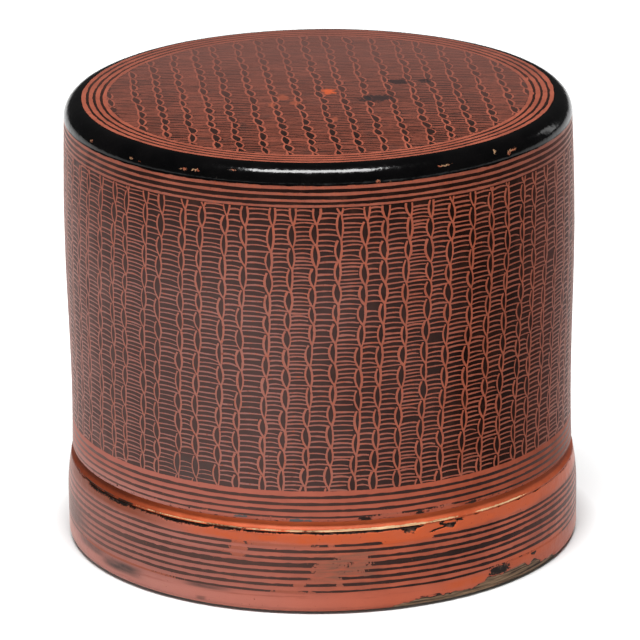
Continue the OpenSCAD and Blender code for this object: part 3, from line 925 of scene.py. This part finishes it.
def cinnabar(name, deep, clear, haze_colour):
    """Matt cinnabar fill with a painted haze towards the left and a painted shade towards the right, fine
    dark specks where it is rubbed and grains of brighter pigment."""
    finish, tree = lacquer(
        name, deep, clear, cloud=6 * mm, gloss=0.40, rubbed=0.58, dent=0.02 * mm, specular=0.05, bloom=0.34
    )
    # Painted haze towards -X.
    painted_left_haze(tree, haze_colour)
    lay_over(tree, grain(tree, 0.5 * mm, 0.52, 0.68, 0.0, 0.6), (0.37, 0.076, 0.029), 0.55)
    lay_over(tree, grain(tree, 0.8 * mm, 0.60, 0.74), (0.16, 0.040, 0.026), 0.55)
    # Painted shade towards +X.
    painted_right_shade(tree)
    return finish


line_red = cinnabar("line_red", (0.198, 0.053, 0.032), (0.255, 0.072, 0.044), (0.251, 0.110, 0.093))
chain_red = cinnabar("chain_red", (0.225, 0.055, 0.029), (0.290, 0.074, 0.040), (0.285, 0.113, 0.086))


def lower_worn(a, z):
    """How far the lower lines are worn off: the lowest two at the front, and the lowest here and there all
    round."""
    up = (z - mouth_z) / mm
    lowest = np.clip(3.4 - up, 0, 1) + np.clip(2.0 - up, 0, 1)
    share = 0.07 + 0.18 * stretch(a, 6, 24) + 0.22 * clouds(a, z, 5 * mm, 75)
    return np.clip(lowest * share, 0, 1)


red_heights = shoulder_z - np.array([0.45, 2.0, 3.55, 4.85]) * mm
red_widths = np.array([0.78, 0.66, 0.54, 0.58]) * mm
paths, widths = rings(red_heights, red_widths, steps=540, waver=0.08 * mm, seed=71)
upper_lines = inlay("lid_upper_lines_red", paths, widths, on_wall, line_proud, closed=True)
fit(upper_lines, line_red, "lid", "engraved_lacquer")
dark_heights = mouth_z + np.array([6.2, 4.5, 2.85, 1.25]) * mm
dark_widths = np.array([0.70, 0.70, 0.66, 0.48]) * mm
paths, widths = rings(dark_heights, dark_widths, steps=900, waver=0.08 * mm, seed=73)
lower_lines = inlay("lid_lower_lines_dark", paths, widths, on_wall, line_proud, closed=True, worn=lower_worn)
fit(lower_lines, line_black, "lid", "engraved_lacquer")


# Engraved field: some seventy chains of leaves climb the wall, with a ladder of short curved strokes between
# them, all cut freehand through the black with a stylus, filled with cinnabar and polished.
chain_proud = 0.035 * mm
rung_proud = 0.025 * mm
rubbed_out_depth = 0.06 * mm


def leaf_bow(u):
    """Bow of a leaf along its length: a lopsided sine wave that starts open and closes on the stem."""
    return np.maximum(np.sin(np.pi * (0.19 + 0.81 * u)), 0) ** 0.85


def engraved(feet, low, high, lean, leaf, bow, puff, rung, turn, limit, seed):
    """Free-hand rows on a flat panel, as leaves, stems and rungs of points (s, t). Chain c sways about
    s = feet[c] + lean * t, from high[c] down to low[c]. Its knots lie about a leaf apart; between two, the
    stem puffs out to the right by half a sine wave, and the leaf bows to the left. A rung runs from a stem to
    the next chain's leaf as a low arch whose right end droops, and stops at limit(t) to both sides. With a
    turn, the last chain is followed by the first."""
    rng = np.random.default_rng(seed)
    chains = len(feet)
    leaves = int((high.max() - low.min()) / (0.86 * leaf)) + 2
    length = leaf * np.clip(rng.normal(1, 0.085, (chains, leaves)), 0.82, 1.22)
    knot = high.max() + leaf * rng.uniform(0, 1, (chains, 1)) - np.cumsum(length, 1) + length
    bows = bow * np.clip(rng.normal(1, 0.13, (chains, leaves)), 0.6, 1.35)
    puffs = puff * rng.uniform(0.4, 1.5, (chains, leaves))
    sway = rng.uniform(0.10, 0.30, chains) * mm
    wave = rng.uniform(16, 36, chains) * mm
    phase = rng.uniform(0, 2 * np.pi, chains)

    def stem(c, t):
        """Middle line of chain c at height t: its lean plus a slow sine wave."""
        return feet[c] + lean * t + sway[c] * np.sin(2 * np.pi * t / wave[c] + phase[c])

    c = np.arange(chains)[:, None]
    first = np.clip((knot - high[:, None]) / length, 0, 1)[..., None]
    last = np.clip((knot - low[:, None]) / length, 0, 1)[..., None]
    u = first + (last - first) * np.linspace(0, 1, 9)
    t = knot[..., None] - u * length[..., None]
    kept = (last - first)[..., 0] > 0.12
    line = stem(c, t.reshape(chains, -1)).reshape(t.shape)
    leaf_paths = np.stack([line - bows[..., None] * leaf_bow(u), t], -1)[kept]
    stem_paths = np.stack([line + puffs[..., None] * np.sin(np.pi * u), t], -1)[kept]

    rows = int((high.max() - low.min()) / rung * 1.3) + 2
    gap = rng.uniform(0.84, 1.20, (chains, 1)) * rung
    gap = gap * np.clip(rng.normal(1, 0.09, (chains, rows)), 0.75, 1.3)
    level = high.max() + rung * rng.uniform(0, 1, (chains, 1)) - np.cumsum(gap, 1)
    onward = (c[:, 0] + 1) % chains

    def beside(c, t, sizes):
        """Size of the leaf beside height t on chain c, and how far down that leaf t lies."""
        k = np.clip((knot[c][:, :, None] >= t[:, None, :]).sum(1) - 1, 0, leaves - 1)
        u = (np.take_along_axis(knot[c], k, 1) - t) / np.take_along_axis(length[c], k, 1)
        return np.take_along_axis(sizes[c], k, 1), np.clip(u, 0, 1)

    size, u = beside(c[:, 0], level, puffs)
    start = stem(c, level) + size * np.sin(np.pi * u)
    size, u = beside(onward, level, bows)
    end = stem(onward[:, None], level) + np.where(onward == 0, turn, 0)[:, None] - size * leaf_bow(u)
    end = end - np.where(rng.uniform(0, 1, end.shape) < 0.22, rng.uniform(0.1, 0.7, end.shape) * mm, 0)
    side = limit(level)
    start, end = np.clip(start, -side, side), np.clip(end, -side, side)
    w = np.linspace(0, 1, 5)
    arch = rng.normal(0.13, 0.08, level.shape)[..., None] * mm
    droop = np.abs(rng.normal(0.10, 0.14, level.shape))[..., None] * mm
    tilt = rng.normal(0.05, 0.10, level.shape)[..., None] * mm
    s = start[..., None] + (end - start)[..., None] * w
    t = level[..., None] + arch * 4 * w * (1 - w) - droop * w**3 + tilt * (w - 0.5)
    floor = np.minimum(low, low[onward])[:, None] + 0.2 * mm
    roof = np.maximum(high, high[onward])[:, None] - 0.2 * mm
    kept = (end - start > 0.45 * mm) & (level > floor) & (level < roof)
    if not turn:
        kept[-1] = False
    return leaf_paths, stem_paths, np.stack([s, t], -1)[kept]


def pressed(paths, width, taper, seed):
    """Widths of strokes cut by hand: a random pressure for each, thinning towards its end by this taper, and
    a tremble along it."""
    rng = np.random.default_rng(seed)
    pressure = np.clip(rng.normal(1, 0.12, (len(paths), 1)), 0.7, 1.35)
    tremble = np.clip(rng.normal(1, 0.12, paths.shape[:2]), 0.75, 1.25)
    u = np.linspace(0, 1, paths.shape[1])
    return width * pressure * tremble * (1 - taper * u**2 - 0.25 * taper * (1 - u) ** 4)


panel_r = belly_r - 0.4 * mm
chains = 70
turn = 2 * math.pi * panel_r


def panel_angle(s):
    """Angle about the axis of a place on the flat panel, which starts at the back."""
    return s / panel_r + math.pi / 2


def round_wall(s, t, lift):
    """Bends the flat panel round the lid."""
    return on_wall(panel_angle(s), t, lift)


def rubbed_out(paths, seed):
    """Which strokes of the wall are rubbed out: some in its smear and in one more patch, few elsewhere."""
    a, t = panel_angle(paths[:, 2, 0]), paths[:, 2, 1]
    worn = 0.22 * wall_smear(a, 0, t) + 0.35 * patches(a, t - field_high, (-100, -14, 8, 6))
    return np.random.default_rng(seed).uniform(0, 1, len(paths)) < worn + 0.006


def worn_thin(paths):
    """Width left to strokes by polishing and handling: a fifth less at the left, and less in the smear."""
    a, t = panel_angle(paths[..., 0]), paths[..., 1]
    return (1 - 0.20 * stretch(a, -66, 42)) * (1 - 0.4 * wall_smear(a, 0, t))


feet = (np.arange(chains) + 0.09 * np.random.default_rng(81).uniform(-1, 1, chains)) * turn / chains
leaf_paths, stem_paths, rung_paths = engraved(
    feet, np.full(chains, field_low), np.full(chains, field_high), lean=0.055, leaf=5.1 * mm, bow=1.25 * mm,
    puff=0.42 * mm, rung=1.15 * mm, turn=turn, limit=lambda t: 0 * t + 1.0, seed=83,
)
chain_paths = np.concatenate([leaf_paths, stem_paths])
widths = pressed(chain_paths, 0.50 * mm, taper=0.15, seed=85) * worn_thin(chain_paths)
wall_chains = inlay("lid_wall_leaf_chains", chain_paths, widths, round_wall, chain_proud)
fit(wall_chains, chain_red, "lid", "engraved_lacquer")
widths = pressed(rung_paths, 0.41 * mm, taper=0.35, seed=87) * worn_thin(rung_paths)
proud = np.where(rubbed_out(rung_paths, 89), -rubbed_out_depth, rung_proud)[:, None]
wall_rungs = inlay("lid_wall_rungs", rung_paths, widths, round_wall, proud)
fit(wall_rungs, line_red, "lid", "engraved_lacquer")


# Shoulder: a quarter round of plain black lacquer, the glossiest part of the box. It is slightly wavy, and
# small knocks show the tan and red layers under it.
shoulder_r = brim("lid_shoulder_coat") - shoulder_z
shoulder_x = reach("lid_shoulder_coat") - shoulder_r
knock_size = 1.1


def shoulder_chips(a, r, z):
    """Small chips at the places seen in front, and a few round the back."""
    spots = (
        (-62, 1.9, 1.0, 0.4), (-46, 1.5, 0.7, 0.25), (-43.5, 1.4, 0.5, 0.2), (-31.5, 1.9, 1.2, 0.3),
        (-28, 2.0, 1.0, 0.3), (-19.5, 2.9, 1.0, 0.3), (13, 0.5, 0.5, 0.4), (16, 0.35, 1.2, 0.2),
        (29, 2.2, 2.2, 0.25), (47, 1.6, 0.5, 0.5), (48.5, 2.0, 1.1, 0.25), (43, 2.6, 0.4, 0.5),
        (120, 1.1, 1.5, 0.4), (165, 0.8, 1.0, 0.4), (-110, 1.4, 1.4, 0.4), (-150, 0.9, 1.2, 0.3),
        (150, 2.2, 1.0, 0.3),
    )
    spots = [(degrees, height, knock_size * wide, knock_size * tall) for degrees, height, wide, tall in spots]
    return np.clip(frayed(patches(a, z - shoulder_z, *spots), a, z, 0.5, 91), 0, 1)


def shoulder_loss(a, r, z):
    """Hand-laid waves in the black coat, and the depth of its chips."""
    outer = np.hypot(r - shoulder_x, z - shoulder_z) > shoulder_r - 0.4 * mm
    waves = lid_uneven + 0.03 * mm * clouds(a, z, 22 * mm, 61) + 0.012 * mm * clouds(a, z, 3.5 * mm, 93)
    return (waves + 0.05 * mm * np.clip(2 * shoulder_chips(a, r, z) - 0.6, 0, 1)) * outer


shoulder_black, tree = lacquer(
    "shoulder_black", deep=(0.0008, 0.0008, 0.0009), clear=(0.0018, 0.0016, 0.0017), cloud=9 * mm, gloss=0.10,
    rubbed=0.17, dent=0.035 * mm, specular=0.22,
)
lay_over(tree, grain(tree, 0.9 * mm, 0.68, 0.78), (0.012, 0.009, 0.008), 0.4)
under_black = between(tree, grain(tree, 2.5 * mm, 0.42, 0.58), (0.20, 0.045, 0.020), (0.24, 0.14, 0.075))
lay_over(tree, torn(tree, "chips", 0.40 * mm, 0.6, 0.78, 0.90), under_black, 0.6)

shoulder = turned("lid_shoulder_black", np.concatenate([
    arc(shoulder_x, shoulder_z, shoulder_r, 0, 90, 26),
    arc(shoulder_x, shoulder_z, shoulder_r - coat_t, 90, 0, 12),
]), around=900, worn=shoulder_loss, chips=shoulder_chips)
fit(shoulder, shoulder_black, "lid", "black_lacquer", "lid_shoulder_coat")


# Top coat: a flat disc of the same black ground. The pivot that it turned on left a red plug in the middle,
# and what was set down on it left dark smears and rubbed spots.
top_z, top_r = brim("lid_top_coat"), reach("lid_top_coat")
field_r = top_r - 6.4 * mm


def top_loss(a, r, z):
    """Hand-laid unevenness of the top, on its upper face alone: a product of two slow sine waves."""
    x, y = r * np.cos(a), r * np.sin(a)
    swell = np.sin(x / (9 * mm) + 1.3 * np.sin(y / (13 * mm))) * np.sin(y / (11 * mm) + 0.7)
    return (lid_uneven + 0.02 * mm * swell) * (z > top_z - 0.3 * mm)


def spot(tree, x, y, wide, deep):
    """Share of a torn spot on the top, in mm: 1 inside an ellipse about (x, y), with noise at its edge."""
    scale = (1 / (wide * mm), 1 / (deep * mm), 0)
    inside = shade(tree, "Mapping", Vector=own(tree), Location=(-x / wide, -y / deep, 0), Scale=scale)
    away = shade(tree, "VectorMath", inside, operation="LENGTH", out="Value")
    outside = over(tree, away, grain(tree, 1.3 * mm, 0.3, 0.7, -0.5, 0.5), 0.75, 1.1)
    return shade(tree, "Math", 1.0, outside, operation="SUBTRACT")


def top_haze_and_wear(tree):
    """Lays over a finish of the top a painted haze that dulls it the further back, though less so at the rim,
    and what use did to it: dark smears, rubbed spots and a red plug."""
    from_middle = shade(tree, "VectorMath", stretched(tree, 1.0, 1.0, 0.0), operation="LENGTH", out="Value")
    spared = shade(tree, "MapRange", from_middle, field_r, field_r + 1 * mm, 0.0, -30 * mm)
    # Painted haze: duller the further back, less so at the rim.
    lay_over(tree, along(tree, "Y", -36 * mm, 36 * mm, 0.0, 0.66, spared), (0.108, 0.050, 0.042), 0.6)
    for place in ((19.5, 9.5, 2.6, 2.2), (26, 9.8, 1.6, 1.6), (14, -4.5, 4.2, 3.0)):
        lay_over(tree, times(tree, spot(tree, *place), 0.8), (0.016, 0.015, 0.016), 0.45)
    for place in ((-8.5, -3, 1.4, 2.4), (-5.5, -7.5, 1.3, 2.2), (-11, -9, 0.9, 2.2), (4, -22, 0.8, 1.8)):
        lay_over(tree, times(tree, spot(tree, *place), 0.6), (0.22, 0.056, 0.030), 0.55)
    lay_over(tree, spot(tree, 2.6, 1.2, 1.5, 2.8), (0.34, 0.064, 0.024), 0.5)


top_ground, tree = lacquer(
    "top_ground", deep=(0.009, 0.004, 0.003), clear=(0.020, 0.008, 0.006), cloud=12 * mm, gloss=0.34,
    rubbed=0.52, dent=0.04 * mm, specular=0.2,
)
top_haze_and_wear(tree)
top_low = foot("lid_top_coat")
top_coat = turned("lid_top_coat_black", half_outline(
    (0, top_low), (top_r, top_low), (top_r, top_z), (0, top_z), step=0.9 * mm,
), worn=top_loss)
fit(top_coat, top_ground, "lid", "engraved_lacquer", "lid_top_coat")


# Top engraving: four red rings inside the shoulder, then straight rows of the same leaf chains, cut from the
# far side, with close hatching between them. Handling has dulled the hatching to brown.
def on_top(x, y, lift):
    """A point of the top's plane, lifted off its coat."""
    return np.stack([x, y, top_z - top_loss(np.arctan2(y, x), np.hypot(x, y), top_z + 0 * x) + lift], -1)


def round_top(a, t, lift):
    """Angle and distance in from the rim of the top."""
    return on_top((top_r - t) * np.cos(a), (top_r - t) * np.sin(a), lift)


top_red, tree = lacquer(
    "top_red", deep=(0.184, 0.048, 0.029), clear=(0.246, 0.065, 0.039), cloud=7 * mm, gloss=0.42,
    rubbed=0.60, dent=0.02 * mm, specular=0.12,
)
lay_over(tree, grain(tree, 1.2 * mm, 0.58, 0.76), (0.13, 0.034, 0.022), 0.55)
top_haze_and_wear(tree)
top_brown, tree = lacquer(
    "top_brown", deep=(0.108, 0.030, 0.019), clear=(0.166, 0.046, 0.029), cloud=9 * mm, gloss=0.45,
    rubbed=0.62, dent=0.02 * mm, specular=0.12,
)
lay_over(tree, grain(tree, 5 * mm, 0.50, 0.72), (0.078, 0.029, 0.021), 0.6)
top_haze_and_wear(tree)

ring_places = np.array([0.55, 2.25, 3.95, 5.65]) * mm
ring_widths = np.array([1.02, 1.03, 1.03, 1.02]) * mm
paths, widths = rings(ring_places, ring_widths, steps=480, waver=0.06 * mm, seed=101)
top_rings = inlay("lid_top_rings_red", paths, widths, round_top, line_proud, closed=True)
fit(top_rings, top_red, "lid", "engraved_lacquer")

top_pitch = 5.55 * mm
top_rows = np.arange(-9, 10)
top_lean = math.radians(5)
hatched_r = field_r + 0.2 * mm


def across_top(s, t, lift):
    """Turns the flat panel half round and by the rows' lean, and lays it on the top."""
    x = -s * math.cos(top_lean) + t * math.sin(top_lean)
    y = -s * math.sin(top_lean) - t * math.cos(top_lean)
    return on_top(x, y, lift)


def half_chord(away):
    """Half the length of a straight row across the hatched circle, at a distance from its middle."""
    return np.sqrt(np.maximum(hatched_r**2 - away**2, 0))


feet = (top_rows + 0.08 * np.random.default_rng(103).uniform(-1, 1, len(top_rows))) * top_pitch
leaf_paths, stem_paths, rung_paths = engraved(
    feet, -half_chord(feet), half_chord(feet), lean=0.0, leaf=5.7 * mm, bow=1.45 * mm, puff=0.46 * mm,
    rung=1.20 * mm, turn=0, limit=half_chord, seed=105,
)
chain_paths = np.concatenate([leaf_paths, stem_paths])
widths = pressed(chain_paths, 0.46 * mm, taper=0.15, seed=107)
top_chains = inlay("lid_top_leaf_chains", chain_paths, widths, across_top, chain_proud)
fit(top_chains, top_red, "lid", "engraved_lacquer")
widths = pressed(rung_paths, 0.73 * mm, taper=0.15, seed=109)
top_rungs = inlay("lid_top_rungs", rung_paths, widths, across_top, rung_proud)
fit(top_rungs, top_brown, "lid", "engraved_lacquer")


# Studio: a plain pale floor, lit a little from below except under the box, a long softbox overhead that draws
# the streak on the shoulder, a soft front light that isn't mirrored in the gloss, faint lights at both sides
# behind the box, and a long lens a little above it.
floor_half = 4
floor_corners = [(x * floor_half, y * floor_half, 0) for x, y in ((-1, -1), (1, -1), (1, 1), (-1, 1))]
floor_mesh = bpy.data.meshes.new("floor")
floor_mesh.from_pydata(floor_corners, [], [(0, 1, 2, 3)])
floor = bpy.data.objects.new("floor", floor_mesh)
bpy.context.scene.collection.objects.link(floor)
paper, tree = new_finish("white_paper", specular=0.1)
shader = tree.nodes["Principled BSDF"]
white = between(tree, grain(tree, 0.4), (0.58, 0.58, 0.58), (0.60, 0.60, 0.60))
tree.links.new(white, shader.inputs["Base Color"])
shader.inputs["Roughness"].default_value = 0.9
shader.inputs["Emission Color"].default_value = (1.0, 1.0, 1.0, 1.0)
from_axis = shade(tree, "VectorMath", own(tree), operation="LENGTH", out="Value")
glow = shade(tree, "MapRange", from_axis, band_r, band_r + 6 * mm, 0.0, 0.34)
tree.links.new(glow, shader.inputs["Emission Strength"])
floor.data.materials.append(paper)

world = bpy.data.worlds.new("studio")
world.use_nodes = True
world.node_tree.nodes["Background"].inputs["Color"].default_value = (1.0, 1.0, 1.0, 1.0)
world.node_tree.nodes["Background"].inputs["Strength"].default_value = 0.05
bpy.context.scene.world = world


def softbox(name, place, aim, wide, tall, watts, mirrored=True):
    """A rectangular light at a place, turned towards a point, which gloss mirrors or doesn't."""
    lamp = bpy.data.lights.new(name, "AREA")
    lamp.shape, lamp.size, lamp.size_y, lamp.energy = "RECTANGLE", wide, tall, watts
    made = bpy.data.objects.new(name, lamp)
    made.location = place
    made.rotation_mode = "QUATERNION"
    made.rotation_quaternion = (Vector(aim) - Vector(place)).to_track_quat("-Z", "Y")
    made.visible_glossy = mirrored
    bpy.context.scene.collection.objects.link(made)


softbox("overhead", (-0.05, -0.55, 2.10), (0, 0, 0.08), wide=1.35, tall=0.58, watts=95.0)
softbox("front", (-0.30, -1.60, 0.75), (0, 0, 0.06), wide=0.60, tall=0.60, watts=5.5, mirrored=False)
softbox("right_behind", (1.5, 1.2, 0.58), (0, 0, 0.08), wide=0.30, tall=0.70, watts=1.2)
softbox("left_behind", (-1.5, 0.9, 0.55), (0, 0, 0.06), wide=0.60, tall=0.80, watts=4.0, mirrored=False)

picture_px = 640
focal_px = 5865
camera_rise = math.radians(18.55)
camera_far = 1.4287
camera_roll = math.radians(-0.7)
box_middle = Vector((0, 0, 0.052))
picture_middle = Vector((-0.00014, 0, 0.05262))
lens = bpy.data.cameras.new("camera")
lens.sensor_width = 36.0
lens.lens = lens.sensor_width * focal_px / picture_px
camera = bpy.data.objects.new("camera", lens)
camera.location = box_middle + camera_far * Vector((0, -math.cos(camera_rise), math.sin(camera_rise)))
camera.rotation_mode = "QUATERNION"
look = (picture_middle - camera.location).to_track_quat("-Z", "Y")
camera.rotation_quaternion = look @ Quaternion((0, 0, 1), camera_roll)
bpy.context.scene.collection.objects.link(camera)
bpy.context.scene.camera = camera
bpy.context.scene.view_settings.view_transform = "Standard"
